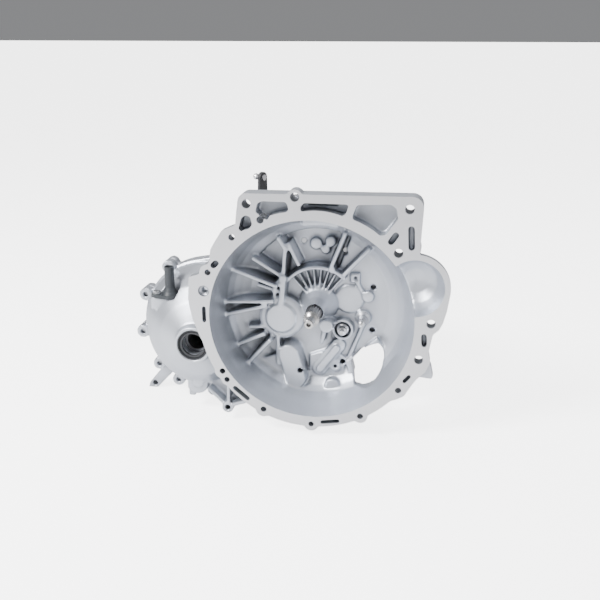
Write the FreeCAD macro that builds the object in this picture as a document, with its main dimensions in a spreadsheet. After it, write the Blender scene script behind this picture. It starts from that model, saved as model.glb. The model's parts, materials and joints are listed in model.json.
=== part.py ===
"""A five-speed manual transaxle for a front-wheel-drive car, seen from its clutch bell.

Frame, in millimetres: the origin is on the input shaft's axis at the face that bolts to the
engine. +Y runs into the gearbox, +Z is up, and +X is to the right of someone who stands at the
engine and looks along +Y.
"""
import FreeCAD, Part
import math
import os
import re
import Sketcher
from FreeCAD import Placement, Rotation, Vector

doc = FreeCAD.newDocument("Transaxle")

# ---------------------------------------------------------------------------------------------
# Driving dimensions
# ---------------------------------------------------------------------------------------------

SIZES = (
    # clutch bell and engine flange
    ("bell_radius", 150), ("flange_land", 16), ("flange_thickness", 14), ("bell_wall", 8),
    ("bell_depth", 92), ("bell_taper", 7), ("bell_corner", 34), ("top_edge", 186),
    ("top_block_depth", 32), ("pocket_depth", 22), ("starter_x", 148), ("starter_z", 58),
    ("starter_radius", 41.5), ("starter_depth", 45), ("boss_wall", 6.5),
    ("bolt_hole", 6.5), ("dowel_hole", 4.6), ("small_hole", 4.3),
    # rib work inside the bell
    ("rib_width", 5.5), ("rib_base", 9), ("ring_rib_radius", 60), ("ring_rib_front", 75),
    ("deep_floor", 105),
    # castings
    ("joint_face", 118), ("chamber_front", 99), ("casting_wall", 7), ("joint_rim", 12),
    ("gear_end_x", -12), ("gear_end_z", -6), ("gear_end_radius", 96), ("diff_end_radius", 108),
    ("case_wall_front", 252), ("case_back", 262), ("cover_back", 316), ("cover_wall", 5),
    ("diff_back", 190), ("case_bolt_radius", 4), ("case_bolt_head", 6.5),
    # shaft axes
    ("output_x", -56), ("output_z", -21), ("diff_x", -180), ("diff_z", -51),
    # input shaft and its guide sleeve
    ("pilot_radius", 7), ("pilot_length", 20), ("pilot_tip", -11), ("spline_radius", 12),
    ("spline_root", 10.8), ("spline_end", 48), ("input_radius", 11), ("sleeve_tip", 42.5),
    ("sleeve_radius", 14), ("sleeve_root", 25), ("input_seal_gap", 2),
    # gears
    ("gear_bore", 20), ("running_gap", 0.05), ("gear_width", 15), ("gear_one_front", 134),
    ("hub_width", 20), ("gear_space", 2), ("final_width", 25), ("final_front", 102),
    ("output_radius", 19.95), ("input_core", 10), ("fifth_bore", 14), ("ring_seat", 60),
    ("diff_middle", 147),
    # bearings
    ("small_bearing_bore", 12.5), ("small_bearing_outer", 26), ("small_bearing_width", 15),
    ("output_bearing_bore", 15), ("output_bearing_outer", 29), ("output_bearing_width", 16),
    ("diff_bearing_bore", 20), ("diff_bearing_outer", 34), ("diff_bearing_width", 16),
    ("bearing_fit", 0.02),
    # drive shaft seals
    ("seal_face", 8), ("seal_outer", 24), ("seal_bore", 17.5), ("seal_depth", 11),
    ("axle_bore", 15), ("diff_span", 206),
    # speed sensor
    ("sensor_x", -228), ("sensor_y", 60), ("sensor_seat", 7), ("sensor_radius", 7.5),
    ("sensor_top", 56), ("sensor_flange", 5), ("sensor_bolt_reach", 22),
    # shift and select gear
    ("control_y", 152), ("control_z", 126), ("control_radius", 7), ("lever_reach", 55),
    ("lever_plate", 5), ("lever_twist", 28), ("lever_x", -99.5), ("tower_left", -65), ("tower_right", -22),
    ("tower_radius", 16), ("select_x", -83), ("select_plate", 6), ("select_finger", 32),
    ("select_reach", 40), ("collar_groove", 9), ("collar_radius", 13),
    ("ball_radius", 5), ("switch_x", -14), ("switch_y", 196), ("switch_seat", 80),
    ("level_seat", 76), ("drain_seat", -158),
)

sheet = doc.addObject("Spreadsheet::Sheet", "Sizes")
for row, (alias, value) in enumerate(SIZES, start=1):
    sheet.set(f"A{row}", alias.replace("_", " "))
    sheet.set(f"B{row}", str(value))
    sheet.setAlias(f"B{row}", alias)
doc.recompute()


def cell(formula):
    """A formula in the sheet's own words, as another object of the document reads it."""
    return re.sub(r"\b([a-z][a-z0-9_]*)\b(?!\s*\()", r"Sizes.\1", str(formula))


def number(formula):
    """What a formula in the sheet's words comes to now."""
    return float(sheet.evalExpression(str(formula)))


def numbers(*formulas):
    return [number(formula) for formula in formulas]


def bind(thing, **formulas):
    """Ties properties to the sheet. A double underscore in a name stands for a dot."""
    for name, formula in formulas.items():
        thing.setExpression(name.replace("__", "."), cell(formula))


# ---------------------------------------------------------------------------------------------
# Ways of making a solid
# ---------------------------------------------------------------------------------------------

ALONG = {
    "x": (Rotation(Vector(0, 1, 0), 90), Rotation(Vector(1, 1, 1), 240), Vector(1, 0, 0)),
    "y": (Rotation(Vector(1, 0, 0), -90), Rotation(), Vector(0, 1, 0)),
    "z": (Rotation(), Rotation(Vector(1, 0, 0), 90), Vector(0, 0, 1)),
}


def place(thing, rotation, x, y, z):
    """Stands a thing at a point given by formulas."""
    thing.Placement = Placement(Vector(*numbers(x, y, z)), rotation)
    bind(thing, Placement__Base__x=x, Placement__Base__y=y, Placement__Base__z=z)


def rod(name, x, z, front, back, radius, y=0, along="y"):
    """A round bar from front to back along one axis. The coordinate on that axis is not used."""
    bar = doc.addObject("Part::Cylinder", name)
    start = {"x": (front, y, z), "y": (x, front, z), "z": (x, y, front)}[along]
    place(bar, ALONG[along][0], *start)
    bind(bar, Radius=radius, Height=f"({back}) - ({front})")
    return bar


def cone(name, x, z, front, back, front_radius, back_radius):
    """A round taper along Y."""
    taper = doc.addObject("Part::Cone", name)
    place(taper, ALONG["y"][0], x, front, z)
    bind(taper, Radius1=front_radius, Radius2=back_radius, Height=f"({back}) - ({front})")
    return taper


def box(name, low, high):
    """A block between two opposite corners, each coordinate a formula."""
    block = doc.addObject("Part::Box", name)
    place(block, Rotation(), *low)
    spans = [f"({b}) - ({a})" for a, b in zip(low, high)]
    bind(block, Length=spans[0], Width=spans[1], Height=spans[2])
    return block


def draw(name, path):
    """A sketch of a closed path. A step of two numbers is a line to a point, and a step of four
    is an arc through the first point to the second."""
    sketch = doc.addObject("Sketcher::SketchObject", name)
    start = Vector(path[-1][-2], path[-1][-1], 0)
    ends = []
    for step in path:
        end = Vector(step[-2], step[-1], 0)
        if len(step) == 2:
            edge = sketch.addGeometry(Part.LineSegment(start, end), False)
        else:
            edge = sketch.addGeometry(Part.Arc(start, Vector(step[0], step[1], 0), end), False)
        first = 1 if sketch.getPoint(edge, 1).distanceToPoint(start) < 1e-6 else 2
        ends.append((edge, first, 3 - first))
        start = end
    for (edge, _, last), (follower, first, _) in zip(ends, ends[1:] + ends[:1]):
        sketch.addConstraint(Sketcher.Constraint("Coincident", edge, last, follower, first))
    return sketch


ACROSS = {
    "x": Rotation(Vector(1, 1, 1), 120), "y": Rotation(Vector(1, 0, 0), 90), "z": Rotation(),
}


def slab(name, path, front, back, draft=0, along="y"):
    """A plate square to one axis, between two places on it. The outline is in X and Z for a
    plate square to Y, in X and Y for Z, and in Y and Z for X."""
    sketch = draw(name + "_outline", path)
    place(sketch, ACROSS[along], *[front if axis == along else 0 for axis in "xyz"])
    plate = doc.addObject("Part::Extrusion", name)
    plate.Base = sketch
    plate.DirMode = "Custom"
    plate.Dir = ALONG[along][2]
    plate.Solid = True
    plate.TaperAngle = draft
    bind(plate, LengthFwd=f"({back}) - ({front})")
    return plate


def turned(name, profile, x=0, z=0, y=0, along="y"):
    """A turned solid. Its profile is a list of radius and place along the axis, as formulas,
    and every corner of the sketch is held to them."""
    sketch = draw(name + "_profile", [numbers(*corner) for corner in profile])
    count = len(profile)
    for index, corner in enumerate(profile):
        edge = (index + 1) % count
        for kind, axis, formula in (("DistanceX", -2, corner[0]), ("DistanceY", -1, corner[1])):
            if abs(number(formula)) < 1e-9:
                sketch.addConstraint(Sketcher.Constraint("PointOnObject", edge, 1, axis))
                continue
            held = Sketcher.Constraint(kind, -1, 1, edge, 1, number(formula))
            sketch.setExpression(f"Constraints[{sketch.addConstraint(held)}]", cell(formula))
    place(sketch, ALONG[along][1], x, y, z)
    solid = doc.addObject("Part::Revolution", name)
    solid.Source = sketch
    solid.Axis = ALONG[along][2]
    solid.Base = Vector(*numbers(x, y, z))
    bind(solid, Base__x=x, Base__y=y, Base__z=z)
    solid.Angle = 360
    solid.Solid = True
    return solid


def fin(name, base, tip, front_width, back_width, back):
    """A drafted rib. Its narrow front edge runs from base to tip, each an x, y and z, and it
    reaches back to a depth along Y."""
    start, end = Vector(*base), Vector(*tip)
    run = end - start
    length = run.Length
    run.normalize()
    across = run.cross(Vector(0, 1, 0)).normalize()
    rib = doc.addObject("Part::Wedge", name)
    rib.Placement = Placement(start, Rotation(-across, run.cross(-across), run, "ZXY"))
    rib.Ymin, rib.Zmin, rib.Z2min = 0, 0, 0
    rib.Zmax, rib.Z2max = length, length
    bind(rib, Xmin=f"-({front_width}) / 2", Xmax=f"({front_width}) / 2",
         X2min=f"-({back_width}) / 2", X2max=f"({back_width}) / 2",
         Ymax=f"({back}) - {min(start.y, end.y):g}")
    return rib


def join(name, *parts):
    whole = doc.addObject("Part::MultiFuse", name)
    whole.Shapes = list(parts)
    return whole


def cut(name, base, *tools):
    rest = doc.addObject("Part::Cut", name)
    rest.Base = base
    rest.Tool = tools[0] if len(tools) == 1 else join(name + "_cutters", *tools)
    return rest


def keep_inside(name, part, envelope):
    inside = doc.addObject("Part::Common", name)
    inside.Base, inside.Tool = part, envelope
    return inside


def group(name, *parts):
    """Several loose solids that share one node."""
    loose = doc.addObject("Part::Compound", name)
    loose.Links = list(parts)
    return loose


def belt(first, first_radius, second, second_radius):
    """The outline of a band round two circles: two arcs joined by their outer tangents."""
    across, up = second[0] - first[0], second[1] - first[1]
    lean = math.atan2(up, across)
    spread = math.acos((first_radius - second_radius) / math.hypot(across, up))

    def on(centre, radius, angle):
        return (centre[0] + radius * math.cos(angle), centre[1] + radius * math.sin(angle))

    return [
        on(second, second_radius, lean - spread),
        on(second, second_radius, lean) + on(second, second_radius, lean + spread),
        on(first, first_radius, lean + spread),
        on(first, first_radius, lean + math.pi) + on(first, first_radius, lean - spread),
    ]


def slot_path(start, end, width):
    """The outline of a slot with round ends."""
    return belt(start, width / 2, end, width / 2)


def polar(centre, radius, degrees):
    angle = math.radians(degrees)
    return (centre[0] + radius * math.cos(angle), centre[1] + radius * math.sin(angle))


INPUT = (0.0, 0.0)
OUTPUT = tuple(numbers("output_x", "output_z"))
DIFF = tuple(numbers("diff_x", "diff_z"))
GEAR_END = tuple(numbers("gear_end_x", "gear_end_z"))

nodes = []


def node(name, thing):
    """Names a finished sub-part, which is written out under that name."""
    thing.Label = name
    nodes.append(thing)
    return thing


# ---------------------------------------------------------------------------------------------
# Clutch housing: bell, engine flange, starter pocket and the front half of the gear chamber
# ---------------------------------------------------------------------------------------------

joint_outline = belt(DIFF, number("diff_end_radius"), GEAR_END, number("gear_end_radius"))

# Engine bolts on the flange: name, x, z, hole radius and boss radius
FLANGE_BOLTS = (
    ("corner_left", -90.7, 170, "bolt_hole", 13), ("top_middle", -22, 181.7, "bolt_hole", 11),
    ("corner_right", 136.4, 170, "bolt_hole", 16), ("upper_left", -112.8, 121.1, 4.8, 14),
    ("upper_inner", -71.1, 148, 5.3, 10), ("shoulder_right", 123.3, 108.2, "bolt_hole", 13.5),
    ("left_small", -149.8, 67.6, "dowel_hole", 12), ("left_dowel", -156.8, 39.1, "dowel_hole", 14),
    ("lower_left_one", -132.1, -85.4, "dowel_hole", 12),
    ("lower_left_two", -125.5, -98.7, "small_hole", 9), ("bottom_left", -70.1, -143.3, "dowel_hole", 12),
    ("bottom_middle", 2.5, -162, "small_hole", 11), ("bottom_right", 75.8, -143.3, "dowel_hole", 11),
    ("lower_right", 130.2, -97.4, "dowel_hole", 12), ("right_low", 157.5, -47.7, "bolt_hole", 14),
    ("right_high", 172.5, 7.5, "bolt_hole", 14),
)

# Slots cast into the flange: name, one end, other end, width
FLANGE_SLOTS = (
    ("left", (-157.4, 13), (-157.4, -7), 6), ("long_lower_left", (-113.5, -111.5), (-94, -127.5), 7),
    ("bottom", (19, -157.5), (43, -154), 6), ("lower_right", (138.6, -82.5), (145, -74.5), 6),
    ("right", (163.5, -11.5), (164.3, -24), 8), ("shoulder", (139.6, 143), (141, 117), 9),
    ("kidney", (119, 133.5), (112.5, 124), 9), ("square_core", (-141, 78.5), (-137, 82), 9),
)


def bell_outside(name):
    corner = "bell_depth + bell_wall - 1"
    return turned(name, (
        (0, 0), ("bell_radius + bell_wall", 0), ("bell_radius + bell_wall - 3", 30),
        ("bell_radius + bell_wall - bell_taper", 58), ("bell_radius - 8", 78),
        ("bell_radius - 24", corner), (0, corner)))


def bell_inside():
    """The bowl: a slight cone, then a rounded corner into the flat floor."""
    return turned("bell_inside", (
        (0, -1), ("bell_radius", -1), ("bell_radius - 2", 25), ("bell_radius - bell_taper", 55),
        ("bell_radius - bell_taper - 3.5", 67), ("bell_radius - bell_taper - 11", 77),
        ("bell_radius - bell_taper - 22", "bell_depth - 6.5"),
        ("bell_radius - bell_taper - bell_corner", "bell_depth"), (0, "bell_depth")))


def starter_dome(name, wall, front):
    """The closed pocket that the starter's nose reaches into."""
    radius, depth = f"starter_radius + {wall}", f"starter_depth + {wall}"
    return turned(name, (
        (0, front), (radius, front), (radius, 10), (f"{radius} - 3", 22),
        (f"{radius} - 11", 34), (f"{radius} - 24", f"{depth} - 3"), (0, depth)),
        x="starter_x", z="starter_z")


def flange_pads():
    """The flat lands that stand out from the bell's ring, each to its own depth."""
    edge = number("top_edge")
    top = [(-116, 118), (-107.2, 139.4), (-105.3, 158), (-103, edge - 13),
           (-99.6, edge - 4.5, -90, edge - 1), (138, edge + 1.5), (150.5, edge - 3, 154.8, edge - 14),
           (154.8, 163), (152.8, 119), (154.4, 112), (140, 96), (90, 90), (0, 130), (-70, 110)]
    left = [(-107.2, 139.4), (-127.8, 130), (-140, 110.4), (-144.9, 101.3), (-147, 83.4),
            (-161, 64.7), (-178.6, 59.3), (-180.9, 24), (-176, -2), (-166, -30), (-150, -62),
            (-120, -40), (-120, 60), (-80, 120)]
    right = [(150, 50), (196.5, 47.8), (193.6, 27), (189, 9), (184, -1), (176, -8.3),
             (173.3, -23.6), (171, -36), (173.9, -51), (168, -66), (156.7, -77.3), (151, -85.5),
             (142, -100.4), (130.6, -111), (118, -116), (100, -80), (130, 0)]
    tongue = [(171, -50), (175.6, -57), (179.3, -74), (177.4, -79), (156.7, -77.3), (150, -60)]
    return [slab("top_land", top, 0, "top_block_depth"), slab("left_land", left, 0, 18),
            slab("right_land", right, 0, "flange_thickness + 4"),
            slab("tongue", tongue, 6, "flange_thickness + 4")]


def flange_bosses():
    return [rod(f"boss_{name}", x, z, 0, "flange_thickness + 8", boss)
            for name, x, z, _, boss in FLANGE_BOLTS]


def flange_cuts():
    """Bolt holes, slots and the cored pockets of the top frame."""
    through = "top_block_depth + 12"
    cuts = [rod(f"hole_{name}", x, z, -1, through, hole) for name, x, z, hole, _ in FLANGE_BOLTS]
    cuts += [slab(f"slot_{name}", slot_path(start, end, width), -1, "flange_thickness - 1")
             for name, start, end, width in FLANGE_SLOTS]
    cuts.append(rod("dowel_counterbore", -156.8, 39.1, -1, 5, 8.5))
    pockets = {
        "pocket_one": [(-78, 159), (-75, 171.5), (-68, 174.8), (-34, 174.6), (-31, 168),
                       (-31.2, 160.5), (-46, 158, -58, 154), (-60, 147)],
        "pocket_two": [(-14.5, 168), (-9, 174.2), (53.6, 174.2), (49.5, 160.5),
                       (44.3, 157.5), (16, 163.6, -13, 161.5)],
        "pocket_three": [(64.5, 174), (110.7, 176), (119, 170.4), (121, 156), (105, 133.5),
                         (97, 132), (79, 144.5, 59.6, 153), (58, 157)],
        "corner_core": [(-98.3, 149.8), (-92.4, 154), (-85.3, 152), (-82.5, 141), (-87, 134.5),
                        (-94.3, 132.7), (-99, 130), (-102.5, 134)],
    }
    cuts += [slab(name, path, -1, "pocket_depth") for name, path in pockets.items()]
    cuts.append(slab("deep_slot", slot_path((-5, 171), (34, 170), 6), -1, "top_block_depth - 4"))
    return cuts


# Ribs that spread from the shaft bosses: name, base and tip in X and Z, depth of the front edge
BELL_RIBS = (
    ("up", (-52.6, 45), (-49.3, 90), 71), ("up_left", (-49.3, 88), (-60.5, 106), 71),
    ("up_right", (-28.5, 62), (-46, 97), 74), ("left_high", (-57, 46), (-100.2, 72), 71),
    ("left_third", (-60, 31), (-131.8, 56.5), 61), ("left_short", (-60, 21), (-93, 30), 72),
    ("left_level", (-66, 7.5), (-147.5, 3), 60), ("left_low", (-76, 0), (-145, -18), 60),
    ("down_left", (-80, -47), (-131.7, -70), 64), ("down_stub", (-84, -38), (-108, -40), 72),
    ("down_diagonal", (-70, -54), (-114.7, -103), 58), ("down", (-61.2, -50), (-61.5, -100), 70),
    ("right_first", (21, 64), (41.5, 116.7), 70), ("right_second", (38.4, 50), (78, 94), 70),
)


def shaft_bosses():
    """The sleeve that guides the release bearing, and the boss over the output shaft's end."""
    sleeve = turned("release_sleeve", (
        (0, "sleeve_tip"), ("sleeve_radius", "sleeve_tip"), ("sleeve_radius + 0.6", "sleeve_tip + 10"),
        ("sleeve_radius + 3", "sleeve_tip + 23"), ("sleeve_root", "sleeve_tip + 36"),
        ("sleeve_root + 5", "sleeve_tip + 43"), ("sleeve_root + 5", "chamber_front"),
        (0, "chamber_front")))
    disc = turned("output_boss", (
        (0, 68), (22, 68), (23.5, 70), (23.5, 72), (29.5, 72), ("output_bearing_outer + 6", 75),
        ("output_bearing_outer + 6", "chamber_front"), (0, "chamber_front")),
        x="output_x", z="output_z")
    return [sleeve, disc]


def ring_rib():
    """The curved rib round the input shaft that the spreading ribs start from."""
    radius, half = number("ring_rib_radius"), number("rib_width") / 2
    outer, inner = radius + half, radius - half
    path = [polar(INPUT, outer, 142),
            polar(INPUT, outer, 95) + polar(INPUT, outer, 46),
            polar(INPUT, inner, 46),
            polar(INPUT, inner, 95) + polar(INPUT, inner, 142)]
    bow = [(-52, 47), (-68.5, 22, -62, -4), (-57, -4), (-63, 22, -48, 43)]
    return [slab("ring_rib", path, "ring_rib_front", "deep_floor + 3"),
            slab("bow_rib", bow, 70, "deep_floor + 3"),
            rod("ring_node_left", -52.5, 42, 69, "deep_floor + 3", 6),
            rod("ring_node_right", 21.6, 59, 72, "deep_floor + 3", 5)]


def bell_ribs():
    ribs = [fin(f"rib_{name}", (base[0], front, base[1]), (tip[0], front, tip[1]),
                "rib_width", "rib_base", "deep_floor + 3")
            for name, base, tip, front in BELL_RIBS]
    ribs.append(fin("rib_keyhole", (-52, 69, 44), (-56, 67, -6), 8, 11, "deep_floor"))
    fan = range(50, 135, 12)
    for index, angle in enumerate(fan):
        base, tip = polar(INPUT, number("sleeve_root"), angle), polar(INPUT, 59, angle)
        ribs.append(fin(f"rib_fan_{index}", (base[0], 78, base[1]), (tip[0], 84, tip[1]),
                        2.5, 5, "chamber_front"))
    return ribs


def bell_details():
    """The pads, bosses and hollows on the bell's floor, clockwise from the upper right."""
    floor = "bell_depth + 4"
    plateau = [(-13, -86), (22, -72), (44, -88), (38, -118), (8, -128), (-14, -120)]
    wedge = [(-97, -97), (-62, -84), (-44, -100), (-52, -126), (-66, -122)]
    window_rim = [(44, -94), (92, -50), (114, -86), (60, -137)]
    return [
        box("square_tab", (48, 87, 36), (63, floor, 51)),
        fin("tab_rib", (58, 86, 38), (70, 86, 17), 4.5, 7, floor),
        rod("round_boss", 76, 15, 84, floor, 9),
        rod("flat_land", 47, 9, 89, floor, 22),
        rod("pivot_pad", 69.4, -19, 85, floor, 12),
        rod("well_wall", 39, -37, 76, floor, 16.5),
        rod("flat_pad", 14.8, -28, 62, floor, 10.5),
        fin("pad_web", (14, 66, -30), (6, 74, -62), 6, 9, floor),
        fin("well_web", (26, 74, -26), (31, 76, -31), 6, 9, floor),
        slab("gallery", slot_path((32, -66), (3, -106), 21), 82, floor, draft=4),
        slab("gallery_ridge", slot_path((30, -69), (4, -105), 10), 76, floor, draft=8),
        slab("plateau", plateau, 86, floor, draft=6),
        rod("drain_boss", 27.8, -101, 82, floor, 8),
        rod("lower_bump", 24, -130, 72, floor, 11),
        slab("idler_bulge", slot_path((-44, -80), (-33, -120), 30), 68, floor, draft=10),
        slab("idler_wedge", wedge, 80, floor, draft=8),
        slab("window_rim", window_rim, 84, "chamber_front + 3", draft=4),
        fin("pivot_rib", (70, 86, -30), (46, 88, -92), 5, 8, floor),
        rod("core_bump_one", -6, 92, 96, "deep_floor + 3", 9),
        rod("core_bump_two", 9, 84, 94, "deep_floor + 3", 7),
        rod("core_bump_three", 17, 97, 92, "deep_floor + 3", 8),
    ]


def differential_front():
    """The dome over the differential's front bearing and its drive-shaft seal."""
    return turned("differential_front", (
        (0, "seal_face"), ("seal_outer + 4.5", "seal_face"), ("seal_outer + 6", "seal_face + 12"),
        ("diff_bearing_outer + 8", "seal_face + 18"), (60, 36), (80, 54), (94, 76),
        ("diff_end_radius - 5", 98), ("diff_end_radius - 5", "joint_face"), (0, "joint_face")),
        x="diff_x", z="diff_z")


def left_side():
    """The block, feet, webs and bosses below and beside the differential's dome."""
    block = [(-204, -104), (-170, -102), (-172, -140), (-188, -150, -204, -142)]
    web = [(-172, -100), (-168, -132), (-144, -156), (-131, -163), (-118, -154), (-96, -136),
           (-120, -90)]
    back = "joint_face"
    return [
        rod("sensor_post", "sensor_x", 0, -30, "sensor_seat", "sensor_radius + 4.5", y="sensor_y",
            along="z"),
        rod("sensor_column", "sensor_x", 0, -92, -24, "sensor_radius + 10", y="sensor_y + 6", along="z"),
        box("sensor_ear", ("sensor_x - sensor_bolt_reach - 8", "sensor_y - 8", -12),
            ("sensor_x", "sensor_y + 8", "sensor_seat")),
        slab("filler_block", block, 52, back),
        rod("filler_pad", -186, -130, 49, 60, 8),
        box("filler_foot", (-205, 60, -158), (-194, 80, -140)),
        slab("gusset_web", web, 50, 58),
        fin("gusset_diagonal", (-166, 32, -130), (-141, 30, -152), 5, 6, 58),
        fin("gusset_upright", (-126, 8, -110), (-132, 28, -150), 5, 6, 58),
        fin("gusset_foot", (-128, 28, -155), (-100, 12, -139), 6, 7, 58),
        rod("gusset_boss", -133, -158, 26, 62, 9),
        fin("boss_rib", (-262, 100, -120), (-205, 96, -128), 6, 8, f"{back} - 5"),
        fin("post_rib", (-236, 98, -148), (-200, 90, -132), 8, 10, f"{back} - 9"),
    ]


# Case bolts round the joint: name, angle on the differential's end or on the gear end
JOINT_BOLTS = (
    ("one", DIFF, "diff_end_radius", 124), ("two", DIFF, "diff_end_radius", 156),
    ("three", DIFF, "diff_end_radius", 189), ("four", DIFF, "diff_end_radius", 220),
    ("five", DIFF, "diff_end_radius", 241), ("six", DIFF, "diff_end_radius", 272),
    ("seven", GEAR_END, "gear_end_radius", 262), ("eight", GEAR_END, "gear_end_radius", 300),
    ("nine", GEAR_END, "gear_end_radius", 340), ("ten", GEAR_END, "gear_end_radius", 20),
    ("eleven", GEAR_END, "gear_end_radius", 60), ("twelve", GEAR_END, "gear_end_radius", 98),
)


def joint_places():
    """The name, x and z of each case bolt, a little outside the joint's outline."""
    return [(name, *polar(centre, number(radius) + 5, angle))
            for name, centre, radius, angle in JOINT_BOLTS]


def joint_bosses(name, front, back):
    return [rod(f"{name}_{bolt}", x, z, front, back, "case_bolt_radius + boss_wall")
            for bolt, x, z in joint_places()]


def joint_holes(name, front, back):
    return [rod(f"{name}_{bolt}", x, z, front, back, "case_bolt_radius + 0.2")
            for bolt, x, z in joint_places()]


def gear_chamber_front():
    """What is hollowed from behind: bearing seats, the seal's bore and room for the gears."""
    wall = "chamber_front"
    stem = tuple(numbers("sensor_x", "sensor_y"))
    ear = tuple(numbers("sensor_x - sensor_bolt_reach", "sensor_y"))
    return [
        slab("sensor_clearance", belt(stem, 17, ear, 10.5), "sensor_seat", 80, along="z"),
        turned("differential_room", (
            (0, "seal_face - 1"), ("seal_outer", "seal_face - 1"),
            ("seal_outer", "seal_face + seal_depth"), ("axle_bore + 4", "seal_face + seal_depth"),
            ("axle_bore + 4", 34), ("diff_bearing_outer", 34),
            ("diff_bearing_outer", "34 + diff_bearing_width"),
            ("diff_bearing_outer + 2", "34 + diff_bearing_width"), ("diff_bearing_outer + 2", wall),
            ("diff_end_radius - casting_wall", wall), ("diff_end_radius - casting_wall", "joint_face + 1"),
            (0, "joint_face + 1")), x="diff_x", z="diff_z"),
        slab("input_room", belt(OUTPUT, 52, GEAR_END, number("gear_end_radius - casting_wall - 6")),
             "deep_floor + casting_wall", "joint_face + 1"),
        rod("pinion_room", "output_x", "output_z", wall, "joint_face + 1", 37),
        rod("output_bearing_seat", "output_x", "output_z", "chamber_front - output_bearing_width", wall,
            "output_bearing_outer"),
        rod("input_bearing_seat", 0, 0, "deep_floor + casting_wall - small_bearing_width",
            "joint_face", "small_bearing_outer"),
        rod("input_seal_seat", 0, 0, 84, 98, "input_radius + 7"),
        rod("sleeve_bore", 0, 0, "sleeve_tip - 1", 98, "spline_radius + 0.6"),
        rod("sensor_bore", "sensor_x", 0, -60, "sensor_seat + 1", "sensor_radius", y="sensor_y",
            along="z"),
        rod("sensor_thread", "sensor_x - sensor_bolt_reach", 0, -4, "sensor_seat + 1", 3, y="sensor_y",
            along="z"),
    ]


def bell_cuts():
    """Openings, pits and bores cut into the bell's floor after the ribs are on."""
    window = [(52, -92), (90, -60, 93.6, -59), (103, -82, 102, -86), (64, -124, 60, -124)]
    return [
        slab("fork_window", window, 50, "joint_face"),
        rod("well", 39, -37, 70, "bell_depth - 4", 12.5),
        rod("pivot_thread", 69.4, -19, 78, "bell_depth", 4),
        rod("tab_hole", 56, 43.5, 80, 92, 2.5),
        rod("drain_hole", 27.8, -101, 80, "bell_depth", 3),
        rod("gusset_hole", -133, -158, 20, 70, "small_hole"),
        slab("dark_slot", [(20, -46), (27, -44), (25, -60), (18, -58)], 60, "bell_depth + 2"),
    ]


def clutch_housing():
    outside = bell_outside("bell_outside")
    solids = [outside, rod("flange_ring", 0, 0, 0, "flange_thickness", "bell_radius + flange_land"),
              rod("bell_back", 0, 0, 88, "deep_floor + casting_wall", 126),
              starter_dome("starter_outside", 8, 0), differential_front(),
              box("top_recess_wall", (-33, 14, 110), (37, "chamber_front", 161)),
              slab("joint_flange", joint_outline, "joint_face - joint_rim", "joint_face"),
              *flange_pads(), *flange_bosses(), *left_side(),
              *joint_bosses("housing_boss", "joint_face - joint_rim - 6", "joint_face")]
    deep = [polar(INPUT, 118, 66), polar(INPUT, 118, 106) + polar(INPUT, 118, 146),
            polar(INPUT, 64, 150), polar(INPUT, 64, 106) + polar(INPUT, 64, 62)]
    shell = cut("bell_shell", join("bell_solid", *solids), bell_inside(),
                starter_dome("starter_inside", 0, -1),
                box("top_recess", (-25, 34, 107), (29, 82, 151)),
                slab("deep_pocket", deep, 80, "deep_floor"))
    inner = join("bell_inner", *shaft_bosses(), *ring_rib(), *bell_ribs(), *bell_details())
    envelope = join("bell_envelope", bell_outside("bell_trim"), rod("back_copy", 0, 0, 40,
                    "deep_floor + casting_wall", 126))
    whole = join("bell_whole", shell, keep_inside("bell_inner_trimmed", inner, envelope),
                 rod("shoulder_boss", 123.3, 108.2, 0, 24, 13.5))
    return cut("clutch_housing_casting", whole, *gear_chamber_front(), *bell_cuts(), *flange_cuts(),
               *joint_holes("housing_hole", 60, "joint_face + 1"))


# ---------------------------------------------------------------------------------------------
# Transaxle case and rear cover
# ---------------------------------------------------------------------------------------------

def barrel(first_radius, second_radius):
    """The outline round the output and input shafts, which case and cover share."""
    return belt(OUTPUT, number(first_radius), INPUT, number(second_radius))


COVER_BOLTS = ((OUTPUT, 67, 120), (OUTPUT, 67, 165), (OUTPUT, 67, 210), (OUTPUT, 67, 255),
               (INPUT, 58, 285), (INPUT, 58, 330), (INPUT, 58, 15), (INPUT, 58, 60), (INPUT, 60, 105))


def cover_places():
    return [(index, *polar(centre, radius + 4, angle))
            for index, (centre, radius, angle) in enumerate(COVER_BOLTS)]


def differential_rear(name, wall, back):
    return turned(name, (
        (0, "joint_face - 1"), (f"diff_end_radius - 6 + {wall}", "joint_face - 1"),
        (f"diff_end_radius - 6 + {wall}", 130), (f"diff_end_radius - 14 + {wall}", 150),
        (f"diff_end_radius - 32 + {wall}", "164 + " + wall), (f"56 + {wall}", "174 + " + wall),
        (f"diff_bearing_outer + {wall}", "176 + " + wall),
        (f"diff_bearing_outer + {wall}", back), (0, back)), x="diff_x", z="diff_z")


def case_ribs():
    """Stiffening webs over the case, from the joint to the cover's flange."""
    ribs = []
    for index, angle in enumerate((62, 35, 8, -20, -48)):
        base, tip = polar(INPUT, 58, angle), polar(INPUT, 76, angle)
        ribs.append(fin(f"case_rib_{index}", (base[0], 132, base[1]), (tip[0], 132, tip[1]),
                        7, 4, "case_back - 6"))
    for index, angle in enumerate((110, 140, 170, 200, 230)):
        base, tip = polar(DIFF, 60, angle), polar(DIFF, 99, angle)
        ribs.append(fin(f"diff_rib_{index}", (base[0], 128, base[1]), (tip[0], 128, tip[1]),
                        7, 4, "diff_back - 14"))
    return ribs


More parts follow.
